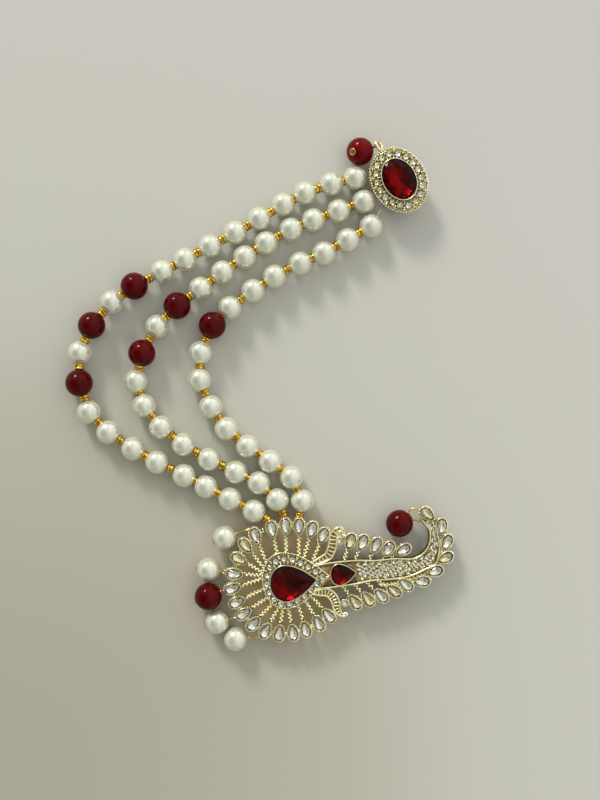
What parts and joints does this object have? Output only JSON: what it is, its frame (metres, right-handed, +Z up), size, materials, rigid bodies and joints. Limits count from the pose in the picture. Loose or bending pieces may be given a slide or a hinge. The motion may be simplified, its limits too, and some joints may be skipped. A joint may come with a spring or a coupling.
{
  "type": "kalgi turban ornament",
  "caption": "Turban ornament: a paisley plume brooch set with clear and red stones, joined by three strings of pearls with garnet beads to an oval brooch, lying flat.",
  "frame": {"origin": "bottom centre of the box round the whole ornament, on the surface it lies on", "axes": "+Z up out of the surface, towards the stones' tables; +Y from the plume towards the oval brooch, the longest way; +X towards the plume's curled tip"},
  "size_m": [0.1316, 0.1718, 0.0107],
  "materials": {
    "pale_gold": "polished champagne gold plate",
    "pin_metal": "plain gold plate",
    "wire": "bright gold wire",
    "pearl": "pearl lustre",
    "garnet": "polished dark red glass",
    "red_stone": "faceted, foil backed",
    "clear_stone": "faceted, silver foil backed",
    "seed_glass": "amber gold glass",
    "thread": "clear nylon thread"
  },
  "bodies": {
    "root": {"plume_setting": "pale_gold", "plume_center_stone": "red_stone", "plume_small_stone": "red_stone", "plume_pin": "pin_metal", "button_setting": "pale_gold", "button_stone": "red_stone", "button_pin": "pin_metal", "strand_outer": "pearl", "strand_middle": "pearl", "strand_inner": "pearl", "fan_pearl_1_bead": "pearl", "fan_pearl_1_wire": "wire", "fan_pearl_2_bead": "pearl", "fan_pearl_2_wire": "wire", "fan_garnet_bead": "garnet", "fan_garnet_wire": "wire", "fan_pearl_3_bead": "pearl", "fan_pearl_3_wire": "wire", "fan_pearl_4_bead": "pearl", "fan_pearl_4_wire": "wire", "tip_garnet_bead": "garnet", "tip_garnet_wire": "wire", "button_garnet_bead": "garnet", "button_garnet_wire": "wire"}
  },
  "joints": []
}
